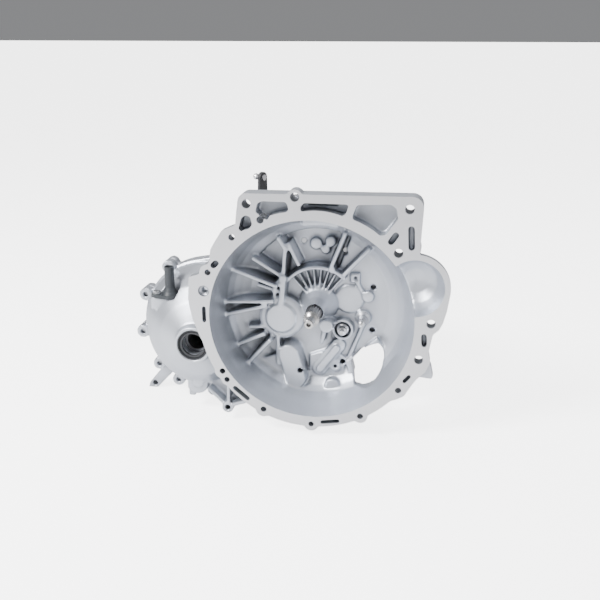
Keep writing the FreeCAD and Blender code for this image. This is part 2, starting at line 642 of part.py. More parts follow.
def transaxle_case():
    wall = "casting_wall"
    foot = [(-256, -118), (-278, -150), (-296, -172), (-298, -180), (-282, -180), (-250, -146)]
    mount = [(22, 40), (78, 40), (86, 72), (60, 96), (10, 80)]
    outer = join(
        "case_solid",
        slab("case_flange", joint_outline, "joint_face", "joint_face + joint_rim"),
        slab("case_barrel", barrel("60 + casting_wall", "64 + casting_wall"), "joint_face", "case_back"),
        slab("cover_flange", barrel("66 + casting_wall", "56 + casting_wall"), "case_back - 10", "case_back"),
        keep_inside("differential_shell", differential_rear("differential_back", "5.5",
                    "seal_face + diff_span"), box("behind_joint", (-400, "joint_face", -300), (200, 400, 300))),
        box("control_tower", ("tower_left", "control_y - 22", 30), ("tower_right", "control_y + 22", "control_z - 8")),
        rod("select_post", "select_x", 0, 20, "control_z - select_plate / 2 - 0.2", 9,
            y="control_y + select_finger", along="z"),
        rod("control_barrel", 0, "control_z", "tower_left", "tower_right", "tower_radius",
            y="control_y", along="x"),
        slab("mounting_foot", foot, 128, 152),
        slab("mounting_arm", mount, 150, 214),
        rod("mount_post_one", 30, 92, 150, 222, 11), rod("mount_post_two", 76, 70, 150, 222, 11),
        rod("switch_boss", "switch_x", 0, 50, "switch_seat", 13, y="switch_y", along="z"),
        rod("level_boss", 0, -30, 50, "level_seat", 14, y=215, along="x"),
        rod("drain_boss_rear", -150, 0, "drain_seat", -125, 14, y=150, along="z"),
        *case_ribs(), *joint_bosses("case_boss", "joint_face", "joint_face + joint_rim + 5"))
    inner = join(
        "case_room",
        rod("select_thread", "select_x", 0, 100, 130, 4, y="control_y + select_finger", along="z"),
        rod("breather_bore", -44, 0, 130, 150, 3, y="control_y", along="z"),
        slab("gear_room", barrel("52", "gear_end_radius - casting_wall - 26"), "joint_face - 1",
             "case_wall_front"),
        differential_rear("differential_room_back", "0", "diff_back - 8"),
        rod("diff_bearing_room", "diff_x", "diff_z", "diff_back - 8", "diff_back + 8", "diff_bearing_outer"),
        rod("diff_axle_room", "diff_x", "diff_z", "diff_back", "seal_face + diff_span", "axle_bore + 4"),
        rod("rear_seal_seat", "diff_x", "diff_z", "seal_face + diff_span - seal_depth",
            "seal_face + diff_span + 1", "seal_outer"),
        rod("input_rear_seat", 0, 0, "case_wall_front - 6", "case_back + 1", "small_bearing_outer"),
        rod("output_rear_seat", "output_x", "output_z", "case_wall_front - 6", "case_back + 1",
            "output_bearing_outer"))
    holes = joint_holes("case_hole", "joint_face - 1", 160)
    holes += [rod(f"case_spotface_{bolt}", x, z, "joint_face + joint_rim + 5", "joint_face + joint_rim + 22", 8.6)
              for bolt, x, z in joint_places()]
    holes += [rod(f"cover_thread_{index}", x, z, "case_back - 12", "case_back + 1", 3.3)
              for index, x, z in cover_places()]
    cuts = [
        rod("control_bore", 0, "control_z", "tower_left - 1", "tower_right - 6",
            "control_radius + running_gap", y="control_y", along="x"),
        rod("mount_thread_one", 30, 92, 190, 223, 5), rod("mount_thread_two", 76, 70, 190, 223, 5),
        rod("foot_hole", -286, -172, 120, 160, 4.5),
        rod("switch_thread", "switch_x", 0, 40, "switch_seat + 1", 7, y="switch_y", along="z"),
        rod("level_thread", 0, -30, 40, "level_seat + 1", 8, y=215, along="x"),
        rod("drain_thread", -150, 0, "drain_seat - 1", -110, 8, y=150, along="z"),
    ]
    return cut("transaxle_case_casting", outer, inner, *holes, *cuts)


def rear_cover():
    outer = join(
        "cover_solid",
        slab("cover_rim", barrel("72", "62"), "case_back", "case_back + 8"),
        slab("cover_dome", barrel("58", "48"), "case_back", "cover_back", draft=-3),
        *[rod(f"cover_boss_{index}", x, z, "case_back", "case_back + 12", 9)
          for index, x, z in cover_places()])
    room = slab("cover_room", barrel("50", "41"), "case_back - 1", "cover_back - cover_wall")
    holes = [rod(f"cover_hole_{index}", x, z, "case_back - 1", "case_back + 20", 3.3)
             for index, x, z in cover_places()]
    return cut("rear_cover_casting", outer, room, *holes)


# ---------------------------------------------------------------------------------------------
# Gears and shafts
# ---------------------------------------------------------------------------------------------

GEAR_ADDENDUM, GEAR_DEDENDUM = 0.95, 1.25     # in modules
TOOTH_AT_ROOT, TOOTH_AT_TIP = 0.30, 0.14      # half thickness, as a share of the pitch

# The five speeds: name, teeth on the input shaft, teeth on the output shaft, front face
SPEEDS = (
    ("first", 11, 37, "gear_one_front"),
    ("second", 16, 32, "gear_one_front + gear_width + hub_width + 3"),
    ("third", 20, 28, "gear_one_front + 2 * gear_width + hub_width + 6"),
    ("fourth", 24, 24, "gear_one_front + 3 * gear_width + 2 * hub_width + 9"),
    ("fifth", 27, 21, "case_back + 4"),
)
FINAL_TEETH = (19, 61)


def spacing(one, other):
    return math.hypot(other[0] - one[0], other[1] - one[1])


def bearing_angle(one, other):
    """The direction from one shaft to another, in degrees."""
    return math.degrees(math.atan2(other[1] - one[1], other[0] - one[0]))


def tooth_path(teeth, module, centre, tooth_at):
    """The outline of a spur gear with flat-sided teeth, one of them centred on an angle."""
    pitch, middle = 360 / teeth, module * teeth / 2
    root, tip = middle - GEAR_DEDENDUM * module, middle + GEAR_ADDENDUM * module
    path = []
    for index in range(teeth):
        at = tooth_at + index * pitch
        path += [polar(centre, root, at - TOOTH_AT_ROOT * pitch), polar(centre, tip, at - TOOTH_AT_TIP * pitch),
                 polar(centre, tip, at + TOOTH_AT_TIP * pitch), polar(centre, root, at + TOOTH_AT_ROOT * pitch)]
    return path


def gear_pair(name, teeth, centres, front, width):
    """Two toothed blanks in mesh: the driving one has a tooth on the line of centres."""
    module = 2 * spacing(*centres) / sum(teeth)
    toward = bearing_angle(*centres)
    driver = slab(f"{name}_driver_teeth", tooth_path(teeth[0], module, centres[0], toward), front,
                  f"{front} + {width}")
    driven = slab(f"{name}_driven_teeth", tooth_path(teeth[1], module, centres[1],
                  toward + 180 + 180 / teeth[1]), front, f"{front} + {width}")
    return driver, driven


def input_shaft(first, second):
    """Pilot, splines for the clutch plate, bearing seats, and the two lowest gears cut on it."""
    shaft = turned("input_blank", (
        (0, "pilot_tip + 6"), (2, "pilot_tip + 6"), (3.5, "pilot_tip"), ("pilot_radius - 1", "pilot_tip"),
        ("pilot_radius", "pilot_tip + 1"), ("pilot_radius", "pilot_tip + pilot_length"),
        ("spline_root - 1", "pilot_tip + pilot_length + 2"), ("spline_root - 1", 13),
        ("spline_root", 14), ("spline_root", "spline_end"), ("input_radius", "spline_end + 1"),
        ("input_radius", "chamber_front - 2"), ("small_bearing_bore - bearing_fit", "chamber_front - 2"),
        ("small_bearing_bore - bearing_fit", "deep_floor + casting_wall"), ("input_core", "deep_floor + casting_wall + 1"),
        ("input_core", "case_back + 24"), (0, "case_back + 24")))
    teeth = 20
    path = []
    for index in range(teeth):
        at = index * 360 / teeth
        path += [polar(INPUT, number("spline_root - 0.4"), at - 5), polar(INPUT, number("spline_radius"), at - 3.6),
                 polar(INPUT, number("spline_radius"), at + 3.6), polar(INPUT, number("spline_root - 0.4"), at + 5)]
    splines = slab("clutch_splines", path, 14, "spline_end")
    return join("input_shaft_turned", shaft, splines, first, second)


def output_shaft(pinion):
    shaft = turned("output_blank", (
        (0, "chamber_front - output_bearing_width + 0.3"),
        ("output_bearing_bore - bearing_fit", "chamber_front - output_bearing_width + 0.3"),
        ("output_bearing_bore - bearing_fit", "chamber_front + 1"), (24, "chamber_front + 1"),
        (24, "final_front + final_width + 3"), ("output_radius", "final_front + final_width + 3"),
        ("output_radius", "case_wall_front - 6.5"), ("output_bearing_bore - bearing_fit", "case_wall_front - 6.5"),
        ("output_bearing_bore - bearing_fit", "case_back + 1"), ("fifth_bore - running_gap", "case_back + 1"),
        ("fifth_bore - running_gap", "case_back + 44"), (0, "case_back + 44")),
        x="output_x", z="output_z")
    return join("output_shaft_turned", shaft, pinion)


def bored(name, teeth, centre_x, centre_z, front, back, bore):
    """A toothed blank with its bore."""
    return cut(name, teeth, rod(name + "_bore", centre_x, centre_z, f"{front} - 5", f"{back} + 5", bore))


def synchroniser(name, front, bore, radius):
    """A hub fixed to the output shaft, with the groove that the fork runs in."""
    back = f"{front} + hub_width"
    return turned(name, (
        (bore, front), (f"{radius}", front), (f"{radius}", f"{front} + 6"), (f"{radius} - 4", f"{front} + 6"),
        (f"{radius} - 4", f"{front} + hub_width - 6"), (f"{radius}", f"{front} + hub_width - 6"),
        (f"{radius}", back), (bore, back)), x="output_x", z="output_z")


def bearing(name, x, z, front, width, bore, outer, rollers):
    """Outer ring, inner ring and rollers, each a solid of its own."""
    back, ring = f"{front} + {width}", f"({outer} - {bore}) * 0.28"
    outside = turned(name + "_outer_ring", (
        (f"{outer} - {ring}", front), (f"{outer} - bearing_fit", front),
        (f"{outer} - bearing_fit", back), (f"{outer} - {ring}", back)), x=x, z=z)
    inside = turned(name + "_inner_ring", (
        (bore, front), (f"{bore} + {ring}", front), (f"{bore} + {ring}", back), (bore, back)), x=x, z=z)
    size = number(f"({outer} - {bore}) * 0.22") - 0.02
    pitch_radius = number(f"({outer} + {bore}) / 2")
    balls = [rod(f"{name}_roller_{index}", *polar(tuple(numbers(x, z)), pitch_radius, index * 360 / rollers),
                 f"{front} + 2", f"{back} - 2", size)
             for index in range(rollers)]
    return group(name, outside, inside, *balls)


def build_gears():
    """The five speeds and the final drive, each gear ready to be named."""
    made = {}
    for name, driving, driven, front in SPEEDS:
        made[name] = gear_pair(name, (driving, driven), (INPUT, OUTPUT), front, "gear_width")
    made["final"] = gear_pair("final", FINAL_TEETH, (OUTPUT, DIFF), "final_front", "final_width")
    return made


gears = build_gears()
node("clutch_housing", clutch_housing())
node("transaxle_case", transaxle_case())
node("rear_cover", rear_cover())
node("input_shaft", input_shaft(gears["first"][0], gears["second"][0]))
for speed, _, _, front in SPEEDS[2:]:
    node(f"input_gear_{speed}", bored(f"{speed}_driver", gears[speed][0], 0, 0, front,
                                      f"{front} + gear_width", "input_core + bearing_fit"))
node("output_shaft", output_shaft(gears["final"][0]))
for speed, _, _, front in SPEEDS:
    bore = "fifth_bore" if speed == "fifth" else "gear_bore"
    node(f"output_gear_{speed}", bored(f"{speed}_driven", gears[speed][1], "output_x", "output_z",
                                       front, f"{front} + gear_width", bore))
node("synchroniser_first_second", synchroniser("hub_low", f"{SPEEDS[0][3]} + gear_width + 1.5",
                                               "output_radius + bearing_fit", 33))
node("synchroniser_third_fourth", synchroniser("hub_high", f"{SPEEDS[2][3]} + gear_width + 1.5",
                                               "output_radius + bearing_fit", 33))
node("synchroniser_fifth", synchroniser("hub_fifth", f"{SPEEDS[4][3]} + gear_width + 1.5",
                                        "fifth_bore - running_gap + bearing_fit", 27))
rear_seat = "case_wall_front - 6"
for label, x, z, front, width, bore, outer, rollers in (
        ("input_front_bearing", 0, 0, "deep_floor + casting_wall - small_bearing_width",
         "small_bearing_width", "small_bearing_bore", "small_bearing_outer", 8),
        ("input_rear_bearing", 0, 0, rear_seat, "small_bearing_width", "input_core + bearing_fit",
         "small_bearing_outer", 7),
        ("output_front_bearing", "output_x", "output_z", "chamber_front - output_bearing_width",
         "output_bearing_width", "output_bearing_bore", "output_bearing_outer", 9),
        ("output_rear_bearing", "output_x", "output_z", rear_seat, "output_bearing_width",
         "output_bearing_bore", "output_bearing_outer", 9),
        ("differential_front_bearing", "diff_x", "diff_z", "34", "diff_bearing_width",
         "diff_bearing_bore", "diff_bearing_outer", 10),
        ("differential_rear_bearing", "diff_x", "diff_z", "diff_back - 8", "diff_bearing_width",
         "diff_bearing_bore", "diff_bearing_outer", 10)):
    node(label, bearing(label + "_set", x, z, front, width, bore, outer, rollers))


# ---------------------------------------------------------------------------------------------
# Differential
# ---------------------------------------------------------------------------------------------

def differential_case():
    body = turned("differential_blank", (
        ("axle_bore", 34.3), ("diff_bearing_bore - bearing_fit", 34.3), ("diff_bearing_bore - bearing_fit", 51),
        (30, 53), (30, 100), (52, 106), ("ring_seat - bearing_fit", 106),
        ("ring_seat - bearing_fit", "final_front + final_width"), (76, "final_front + final_width"),
        (76, "final_front + final_width + 9"), (60, "final_front + final_width + 9"),
        (56, "final_front + final_width + 12"), (50, 164), (30, 176),
        ("diff_bearing_bore - bearing_fit", 178), ("diff_bearing_bore - bearing_fit", "diff_back + 7.7"),
        ("axle_bore", "diff_back + 7.7"), ("axle_bore", "diff_middle + 26"), (20, "diff_middle + 26"),
        (36, "diff_middle + 12"), (36, "diff_middle - 12"), (20, "diff_middle - 26"),
        ("axle_bore", "diff_middle - 26")), x="diff_x", z="diff_z")
    pin_hole = rod("cross_pin_bore", 0, "diff_z", "diff_x - 60", "diff_x + 60", 7, y="diff_middle", along="x")
    bolts = [rod(f"ring_bolt_bore_{index}", *polar(DIFF, 68, index * 45 + 10), 100, 145, 4.2)
             for index in range(8)]
    return cut("differential_case_turned", body, pin_hole, *bolts)


def ring_gear(teeth):
    bolts = [rod(f"ring_bolt_hole_{index}", *polar(DIFF, 68, index * 45 + 10), 95, 130, 4.2)
             for index in range(8)]
    return cut("ring_gear_cut", teeth, rod("ring_gear_bore", "diff_x", "diff_z", 90, 140, "ring_seat"), *bolts)


def ring_gear_bolts():
    bolts = []
    for index in range(8):
        x, z = polar(DIFF, 68, index * 45 + 10)
        bolts.append(join(f"ring_bolt_{index}",
                          rod(f"ring_bolt_shank_{index}", x, z, "final_front + 3", "final_front + final_width + 9", 4),
                          rod(f"ring_bolt_head_{index}", x, z, "final_front + final_width + 9",
                              "final_front + final_width + 14", 6.5)))
    return group("ring_bolt_group", *bolts)


def side_gear(name, toward):
    """A bevel gear blank on the drive shaft's end. Toward is 1 behind the middle, -1 in front."""
    def along(distance):
        return f"diff_middle + {toward} * ({distance})"
    corners = [(11, along(25)), (20, along(25)), (26, along(19)), (26, along(17)), (15, along(9.2)),
               (11, along(9.2))]
    return turned(name, corners if toward > 0 else corners[::-1], x="diff_x", z="diff_z")


def spider_gear(name, toward):
    def along(distance):
        return f"{toward} * ({distance})"
    corners = [(7.05, along(33)), (13, along(33)), (15.4, along(28)), (14.2, along(24)), (8, along(14)),
               (7.05, along(14))]
    return turned(name, corners if toward > 0 else corners[::-1], x="diff_x", y="diff_middle",
                  z="diff_z", along="x")


node("differential_case", differential_case())
node("ring_gear", ring_gear(gears["final"][1]))
node("ring_gear_bolts", ring_gear_bolts())
node("cross_pin", rod("cross_pin_bar", 0, "diff_z", "diff_x - 50", "diff_x + 50", "7 - bearing_fit",
                      y="diff_middle", along="x"))
node("side_gear_front", side_gear("side_gear_front_blank", -1))
node("side_gear_rear", side_gear("side_gear_rear_blank", 1))
node("spider_gear_left", spider_gear("spider_gear_left_blank", -1))
node("spider_gear_right", spider_gear("spider_gear_right_blank", 1))


# ---------------------------------------------------------------------------------------------
# Seals
# ---------------------------------------------------------------------------------------------

def shaft_seal(name, x, z, front, toward, bore, outer, width):
    """A lip seal: a case pressed into its bore, and a lip that runs on the shaft. Toward is 1
    where the outside face looks along -Y, and -1 where it looks along +Y."""
    def at(distance):
        return f"{front} + {toward} * ({distance})"
    corners = [(f"{outer} - bearing_fit", at(0)), (f"{outer} - bearing_fit", at(width)),
               (f"{outer} - 2", at(width)), (f"{outer} - 2", at(f"{width} - 2")),
               (f"{bore} + 2.5", at(f"{width} - 2")), (f"{bore}", at(f"{width} - 3.5")), (f"{bore}", at(1.5)),
               (f"{bore} + 2.2", at(1.5)), (f"{bore} + 3.2", at(2.6)), (f"{outer} - 2.4", at(2.6)),
               (f"{outer} - 1.6", at(0))]
    return turned(name, corners, x=x, z=z)


node("front_axle_seal", shaft_seal("front_seal", "diff_x", "diff_z", "seal_face + 1.5", 1, "seal_bore",
                                   "seal_outer", "seal_depth - 1.5"))
node("rear_axle_seal", shaft_seal("rear_seal", "diff_x", "diff_z", "seal_face + diff_span - 1.5", -1,
                                  "seal_bore", "seal_outer", "seal_depth - 1.5"))
node("input_oil_seal", shaft_seal("input_seal", 0, 0, "85", 1, "input_radius + running_gap",
                                  "input_radius + 7", "9"))


# ---------------------------------------------------------------------------------------------
# Release fork's ball stud, the bell's plugs, and the speed sensor
# ---------------------------------------------------------------------------------------------

def pivot_stud():
    """A ball-ended stud screwed into the bell's floor, for the release fork to rock on."""
    ball = doc.addObject("Part::Sphere", "pivot_ball")
    place(ball, Rotation(), 69.4, 59, -19)
    bind(ball, Radius="ball_radius + 1")
    return join("pivot_stud_turned", ball, rod("pivot_neck", 69.4, -19, 62, 70, 4),
                cone("pivot_taper", 69.4, -19, 68, 74, 5, 7.5), rod("pivot_collar", 69.4, -19, 74, 79, 7.5),
                cone("pivot_washer", 69.4, -19, 79, 82, 7.5, 10.5),
                rod("pivot_base", 69.4, -19, 82, 85, 10.5), rod("pivot_shank", 69.4, -19, 80, 91.8, 3.9))


def detent_plug():
    """The stepped pin that stands in the round well beside the sleeve."""
    return turned("detent_plug_turned", (
        (0, 62), (3, 62), (4, 63), (4, 68), (6.5, 69), (6.5, 76), (9, 78), (9, "bell_depth - 4"),
        (0, "bell_depth - 4")), x=39, z=-37)


def speed_sensor():
    """A hollow plug socket on a flanged plastic body, whose nose reaches down to the gears."""
    ear = tuple(numbers("sensor_x - sensor_bolt_reach", "sensor_y"))
    stem = tuple(numbers("sensor_x", "sensor_y"))
    seat, top = "sensor_seat", "sensor_top"
    flange = slab("sensor_flange_plate", belt(stem, 15, ear, 8.5), seat, f"{seat} + sensor_flange", along="z")
    body = turned("sensor_body", (
        (0, -52), ("sensor_radius - 0.3", -52), ("sensor_radius - 0.3", f"{seat} + 1"),
        (13, f"{seat} + sensor_flange"), ("sensor_radius + 2.5", f"{seat} + sensor_flange + 5"),
        ("sensor_radius", f"{seat} + sensor_flange + 11"), ("sensor_radius", top),
        (0, top)), x="sensor_x", y="sensor_y", along="z")
    socket = rod("sensor_socket", "sensor_x", 0, f"{top} - 20", f"{top} + 1", "sensor_radius - 1.8",
                 y="sensor_y", along="z")
    hole = rod("sensor_bolt_hole", "sensor_x - sensor_bolt_reach", 0, f"{seat} - 1", f"{seat} + 9", 3.4,
               y="sensor_y", along="z")
    return cut("speed_sensor_moulding", join("sensor_solid", flange, body), socket, hole)


def small_bolt(name, x, y, seat, reach, shank, head, thick):
    """A hexagon-headed bolt that points down, its head on a seat."""
    centre = tuple(numbers(x, y))
    hexagon = [polar(centre, head, 60 * corner + 30) for corner in range(6)]
    return join(name, slab(f"{name}_head", hexagon, seat, f"{seat} + {thick}", along="z"),
                rod(f"{name}_washer", x, 0, seat, f"{seat} + 1.2", f"{head} + 1.4", y=y, along="z"),
                rod(f"{name}_shank", x, 0, f"{seat} - {reach}", f"{seat} + 1", shank, y=y, along="z"))


node("fork_pivot_stud", pivot_stud())
node("detent_plug", detent_plug())
node("speed_sensor", speed_sensor())
node("speed_sensor_bolt", small_bolt("sensor_bolt", "sensor_x - sensor_bolt_reach", "sensor_y",
                                     "sensor_seat + sensor_flange", 14, 2.9, 5.2, 4))


# ---------------------------------------------------------------------------------------------
# Shift and select gear on the control tower
# ---------------------------------------------------------------------------------------------

def swung(name, thing, degrees, x, y, z):
    """A part of a lever, swung about an upright line through a point."""
    centre = Vector(*numbers(x, y, z))
    copy = doc.addObject("Part::Compound", name)
    copy.Links = [thing]
    copy.Placement = Placement(centre, Rotation(Vector(0, 0, 1), degrees)).multiply(Placement(-centre, Rotation()))
    return copy


LEVER_EYE = ("lever_x", "control_y", "control_z + lever_reach")


def lever_turned(name, thing):
    return swung(name, thing, -number("lever_twist"), "lever_x", "control_y", "control_z")


def shift_lever():
    """A forged arm that stands up from the control shaft, twisted to face its cable."""
    pivot = tuple(numbers("control_y", "control_z"))
    eye = tuple(numbers("control_y", "control_z + lever_reach"))
    front, back = "lever_x - lever_plate / 2", "lever_x + lever_plate / 2"
    arm = slab("lever_arm", belt(pivot, 10.5, eye, 8.5), front, back, along="x")
    eye_hole = rod("lever_eye_hole", 0, LEVER_EYE[2], "lever_x - 8", "lever_x + 8", 3.05,
                   y="control_y", along="x")
    plate = lever_turned("lever_plate_turned", cut("lever_plate_drilled", arm, eye_hole))
    hub = rod("lever_hub", 0, "control_z", "lever_x - 8", "lever_x + 8", 12, y="control_y", along="x")
    bore = rod("lever_bore", 0, "control_z", "lever_x - 20", "lever_x + 20",
               "control_radius + bearing_fit", y="control_y", along="x")
    return cut("shift_lever_forging", join("lever_solid", plate, hub), bore)


def ball_stud(name, x, y, z, side):
    """A ball on a collared shank, riveted through a lever's eye. Side is -1 where the ball
    stands towards -X."""
    def at(distance):
        return f"{x} + {side} * ({distance})"
    half = "lever_plate / 2"
    corners = [(0, at(f"-{half} - 2")), (4.6, at(f"-{half} - 2")), (4.6, at(f"-{half}")), (3, at(f"-{half}")),
               (3, at(half)), (5.6, at(half)), (5.6, at(f"{half} + 2.5")), (2.8, at(f"{half} + 3.5")),
               (2.8, at(f"{half} + 6")), ("ball_radius * 0.87", at(f"{half} + 7.5")),
               ("ball_radius", at(f"{half} + 10")), ("ball_radius * 0.87", at(f"{half} + 12.5")),
               ("ball_radius * 0.5", at(f"{half} + 14.3")), (0, at(f"{half} + 15"))]
    return turned(name, corners, y=y, z=z, along="x")


def select_collar():
    """A grooved ring on the control shaft, which the select lever's finger pushes along it."""
    middle = "lever_x + 8 + 0.5 + 3.5 + collar_groove / 2"
    near, far = f"{middle} - collar_groove / 2", f"{middle} + collar_groove / 2"
    return turned("select_collar_turned", (
        ("control_radius + running_gap", f"{near} - 3.5"), ("collar_radius", f"{near} - 3.5"),
        ("collar_radius", near), ("collar_radius - 4", near), ("collar_radius - 4", far),
        ("collar_radius", far), ("collar_radius", f"{far} + 3.5"),
        ("control_radius + running_gap", f"{far} + 3.5")), y="control_y", z="control_z", along="x")


def control_shaft():
    """The rail that carries the shift lever: it turns to shift and slides to select."""
    return join("control_shaft_turned",
                rod("control_rail", 0, "control_z", "lever_x - 11", "tower_right - 16", "control_radius",
                    y="control_y", along="x"),
                rod("control_clip", 0, "control_z", "lever_x - 10.3", "lever_x - 8", "control_radius + 2.5",
                    y="control_y", along="x"))


def select_lever():
    """A flat bellcrank on a post: its finger works the collar, and its long arm takes a cable."""
    x, pivot_y = numbers("select_x", "control_y + select_finger")
    finger_y = number("control_y + collar_radius - 4 + 0.6")
    low, high = "control_z - select_plate / 2", "control_z + select_plate / 2"
    half = number("collar_groove / 2 - 1")
    finger = [(x - half, finger_y), (x + half, finger_y), (x + half, pivot_y), (x - half, pivot_y)]
    eye = (x - 8, pivot_y + number("select_reach"))
    return cut("select_lever_pressed",
               join("select_solid", slab("select_finger_bar", finger, low, high, along="z"),
                    slab("select_arm", belt((x, pivot_y), 10, eye, 7), low, high, along="z")),
               rod("select_pivot_hole", "select_x", 0, f"{low} - 1", f"{high} + 1", "4 + running_gap",
                   y="control_y + select_finger", along="z"),
               rod("select_eye_hole", eye[0], 0, f"{low} - 1", f"{high} + 1", 3.05, y=eye[1], along="z"))


def select_ball():
    """The cable's ball on the select lever's long arm, upright."""
    x, y = number("select_x - 8"), number("control_y + select_finger + select_reach")
    low, high = "control_z - select_plate / 2", "control_z + select_plate / 2"
    return turned("select_ball_turned", (
        (0, f"{low} - 1.5"), (4.6, f"{low} - 1.5"), (4.6, low), (3, low), (3, high), (5.6, high),
        (5.6, f"{high} + 2.5"), (2.8, f"{high} + 3.5"), (2.8, f"{high} + 6"),
        ("ball_radius * 0.87", f"{high} + 7.5"), ("ball_radius", f"{high} + 10"),
        ("ball_radius * 0.87", f"{high} + 12.5"), ("ball_radius * 0.5", f"{high} + 14.3"),
        (0, f"{high} + 15")), x=x, y=y, along="z")


def select_pivot_bolt():
    top = "control_z + select_plate / 2 + 0.2"
    return small_bolt("select_pivot", "select_x", "control_y + select_finger", top, 18, 4, 6, 4)


node("control_shaft", control_shaft())
node("shift_lever", shift_lever())
node("shift_ball_stud", lever_turned("shift_ball_turned", ball_stud("shift_ball", *LEVER_EYE, -1)))
node("select_collar", select_collar())
node("select_lever", select_lever())
node("select_ball_stud", select_ball())
node("select_pivot_bolt", select_pivot_bolt())


# ---------------------------------------------------------------------------------------------
# Plugs, switch, breather and bolts
# ---------------------------------------------------------------------------------------------

def hexagon_plug(name, x, y, z, along, seat, reach, radius, head, thick, toward):
    """A plug or bolt with a hexagon head that sits on a seat. Toward is the head's direction."""
    here = {"x": (y, z), "y": (x, z), "z": (x, y)}[along]
    corners = [polar(tuple(numbers(*here)), head, 60 * corner + 30) for corner in range(6)]
    ends = sorted((0, toward * thick))
    washer = sorted((0, toward * 1.5))
    shank = sorted((toward * -reach, toward))
    return join(name,
                slab(f"{name}_head", corners, f"{seat} + {ends[0]}", f"{seat} + {ends[1]}", along=along),
                rod(f"{name}_washer", x, z, f"{seat} + {washer[0]}", f"{seat} + {washer[1]}",
                    f"{head} + 1.5", y=y, along=along),
                rod(f"{name}_shank", x, z, f"{seat} + {shank[0]}", f"{seat} + {shank[1]}", radius,
                    y=y, along=along))


def case_bolts():
    seat = "joint_face + joint_rim + 5"
    return group("case_bolt_set", *[
        hexagon_plug(f"case_bolt_{bolt}", x, 0, z, "y", seat, 28, "case_bolt_radius", 6.8, 6, 1)
        for bolt, x, z in joint_places()])


def cover_bolts():
    return group("cover_bolt_set", *[
        hexagon_plug(f"cover_bolt_{index}", x, 0, z, "y", "case_back + 12", 20, 3.1, 5.6, 5, 1)
        for index, x, z in cover_places()])


def reversing_switch():
    """A screwed brass body with a plug socket, on top of the case."""
    body = hexagon_plug("switch_body", "switch_x", "switch_y", 0, "z", "switch_seat", 18, 6.9, 12, 8, 1)
    cap = turned("switch_cap", (
        (0, "switch_seat + 8"), (8.5, "switch_seat + 8"), (8.5, "switch_seat + 16"), (7, "switch_seat + 18"),
        (7, "switch_seat + 32"), (5.4, "switch_seat + 32"), (5.4, "switch_seat + 20"), (0, "switch_seat + 20")),
        x="switch_x", y="switch_y", along="z")
    return join("reversing_switch_made", body, cap)


node("case_bolts", case_bolts())
node("cover_bolts", cover_bolts())
node("level_plug", hexagon_plug("level_plug_made", 0, 215, -30, "x", "level_seat", 16, 7.9, 11, 8, 1))
node("drain_plug", hexagon_plug("drain_plug_made", -150, 150, 0, "z", "drain_seat", 16, 7.9, 11, 7, -1))
node("reversing_light_switch", reversing_switch())
node("breather", turned("breather_turned", (
    (0, 134), (2.95, 134), (2.95, 142), (5, 142), (5, 145), (3, 145), (3, 150), (6, 150), (6, 155), (0, 156)),
    x=-44, y="control_y", along="z"))


# ---------------------------------------------------------------------------------------------
# Checks and files
# ---------------------------------------------------------------------------------------------

doc.recompute()
for thing in doc.Objects:
    if "Invalid" in thing.State or "Error" in thing.State:
        raise RuntimeError(f"{thing.Name} failed to compute")
for thing in nodes:
    if thing.Shape.isNull() or not thing.Shape.isValid():
        raise RuntimeError(f"{thing.Label} has no valid solid")

os.makedirs("parts", exist_ok=True)
for thing in nodes:
    thing.Shape.exportStep(f"parts/{thing.Label}.step")
    print(f"{thing.Label:30s} {len(thing.Shape.Solids):2d} solids {thing.Shape.Volume / 1000:9.1f} cm3")
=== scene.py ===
# %% [markdown]
# A manual gearbox for a front-wheel-drive car, seen from the side that bolts to the engine.
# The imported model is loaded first. It gives every solid in its true place, and the box that
# the finished picture may not grow out of.

# %% load the model
import json
import math
import bpy
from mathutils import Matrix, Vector


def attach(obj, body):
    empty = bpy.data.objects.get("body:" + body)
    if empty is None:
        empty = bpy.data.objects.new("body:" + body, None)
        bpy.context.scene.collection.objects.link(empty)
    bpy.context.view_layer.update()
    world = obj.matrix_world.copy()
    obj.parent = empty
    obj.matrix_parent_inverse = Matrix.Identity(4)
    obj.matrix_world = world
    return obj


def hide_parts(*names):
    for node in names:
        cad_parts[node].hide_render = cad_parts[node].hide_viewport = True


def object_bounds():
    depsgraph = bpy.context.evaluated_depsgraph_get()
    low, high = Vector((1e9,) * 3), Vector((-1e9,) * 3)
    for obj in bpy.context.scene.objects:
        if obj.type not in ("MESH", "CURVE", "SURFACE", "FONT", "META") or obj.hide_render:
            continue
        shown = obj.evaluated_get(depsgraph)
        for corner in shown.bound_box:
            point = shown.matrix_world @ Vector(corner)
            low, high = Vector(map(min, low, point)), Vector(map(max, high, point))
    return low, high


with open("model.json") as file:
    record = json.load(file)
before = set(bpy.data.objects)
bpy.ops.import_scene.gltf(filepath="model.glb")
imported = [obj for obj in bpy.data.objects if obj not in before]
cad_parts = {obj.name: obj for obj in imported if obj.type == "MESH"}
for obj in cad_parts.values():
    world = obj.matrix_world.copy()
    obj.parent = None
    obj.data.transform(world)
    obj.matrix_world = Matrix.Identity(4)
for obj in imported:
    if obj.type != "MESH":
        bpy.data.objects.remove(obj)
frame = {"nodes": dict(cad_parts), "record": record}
NODES = frame["nodes"]
BODIES = frame["record"]["behaviour"]["bodies"]
BODY_OF = {node: body for body, names in BODIES.items() for node in names}
SLOT_OF = {entry["node"]: entry["material_slot"] for entry in frame["record"]["subparts"]}
cad_box = [list(corner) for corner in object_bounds()]
print("nodes:", len(NODES))
print("box in mm:", [[round(1000 * value, 1) for value in corner] for corner in cad_box])
